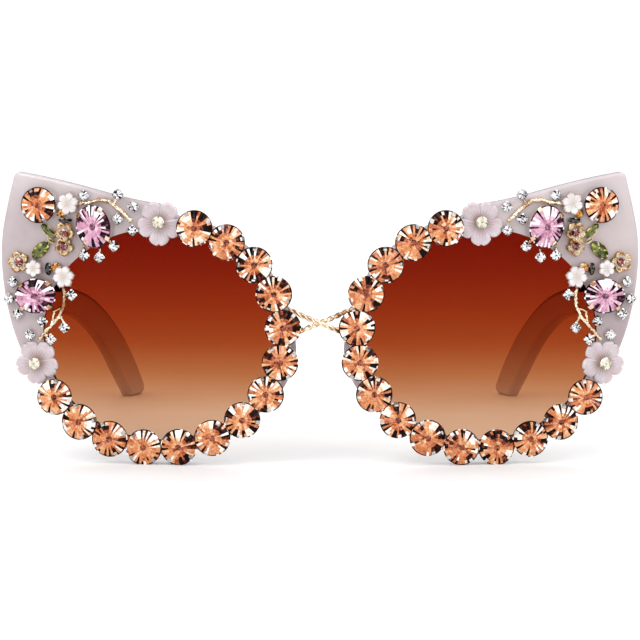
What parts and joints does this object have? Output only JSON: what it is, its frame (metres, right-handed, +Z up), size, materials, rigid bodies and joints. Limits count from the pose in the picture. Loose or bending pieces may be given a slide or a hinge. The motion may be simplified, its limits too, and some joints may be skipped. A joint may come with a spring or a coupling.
{
  "type": "cat eye sunglasses",
  "caption": "Cat eye sunglasses with round tinted lenses, crystal-set rims, jewelled wings, a crossed wire bridge and folding temples.",
  "frame": {"origin": "centre of the whole object's bounding box in plan, at the height of the table it stands on", "axes": "+Z up; the front faces -Y and the temples run towards +Y; +X is the wearer's left"},
  "size_m": [0.15, 0.1482, 0.0678],
  "materials": {
    "frame_plastic": "polished milky pink-grey acetate",
    "lens_tint": "polished, tinted red-brown fading to peach at the bottom",
    "peach_crystal": "faceted, foil backed",
    "pink_crystal": "faceted, foil backed",
    "clear_crystal": "faceted, foil backed",
    "garnet_crystal": "faceted",
    "olive_crystal": "smooth domed",
    "amber_crystal": "faceted",
    "dark_crystal": "faceted",
    "mother_of_pearl": "pearly, polished",
    "silver_metal": "polished",
    "gold_metal": "polished pale rose gold",
    "hinge_metal": "satin gold",
    "screw_steel": "turned"
  },
  "bodies": {
    "front": {"bridge": "gold_metal", "eye_frame_left": "frame_plastic", "lens_left": "lens_tint", "nose_pad_left": "frame_plastic", "front_hinge_left": "hinge_metal", "front_hinge_rivets_left": "hinge_metal", "hinge_screw_left": "screw_steel", "rim_crystals_left": "peach_crystal", "rim_settings_left": "silver_metal", "oval_crystals_left": "pink_crystal", "oval_settings_left": "gold_metal", "blossoms_left": "mother_of_pearl", "blossom_centre_cups_left": "gold_metal", "blossom_centre_crystals_left": "clear_crystal", "accent_cups_left": "silver_metal", "accent_crystals_left": "clear_crystal", "pearl_flowers_left": "mother_of_pearl", "gold_flowers_left": "gold_metal", "gold_flower_crystals_left": "garnet_crystal", "leaf_settings_left": "gold_metal", "leaf_crystals_left": "olive_crystal", "amber_crystals_left": "amber_crystal", "dark_navettes_left": "dark_crystal", "upper_twig_left": "gold_metal", "lower_twig_left": "gold_metal", "wing_stems_left": "gold_metal", "eye_frame_right": "frame_plastic", "lens_right": "lens_tint", "nose_pad_right": "frame_plastic", "front_hinge_right": "hinge_metal", "front_hinge_rivets_right": "hinge_metal", "hinge_screw_right": "screw_steel", "rim_crystals_right": "peach_crystal", "rim_settings_right": "silver_metal", "oval_crystals_right": "pink_crystal", "oval_settings_right": "gold_metal", "blossoms_right": "mother_of_pearl", "blossom_centre_cups_right": "gold_metal", "blossom_centre_crystals_right": "clear_crystal", "accent_cups_right": "silver_metal", "accent_crystals_right": "clear_crystal", "pearl_flowers_right": "mother_of_pearl", "gold_flowers_right": "gold_metal", "gold_flower_crystals_right": "garnet_crystal", "leaf_settings_right": "gold_metal", "leaf_crystals_right": "olive_crystal", "amber_crystals_right": "amber_crystal", "dark_navettes_right": "dark_crystal", "upper_twig_right": "gold_metal", "lower_twig_right": "gold_metal", "wing_stems_right": "gold_metal"},
    "temple_arm_left": {"temple_left": "frame_plastic", "temple_hinge_left": "hinge_metal", "temple_hinge_rivets_left": "hinge_metal"},
    "temple_arm_right": {"temple_right": "frame_plastic", "temple_hinge_right": "hinge_metal", "temple_hinge_rivets_right": "hinge_metal"}
  },
  "joints": [
    {"name": "hinge_left", "type": "hinge", "parent": "front", "child": "temple_arm_left", "pos_m": [0.0662, -0.05602, 0.0426], "axis": [0, 0, 1], "range_deg": [0, 84]},
    {"name": "hinge_right", "type": "hinge", "parent": "front", "child": "temple_arm_right", "pos_m": [-0.0662, -0.05602, 0.0426], "axis": [0, 0, -1], "range_deg": [0, 76]}
  ]
}
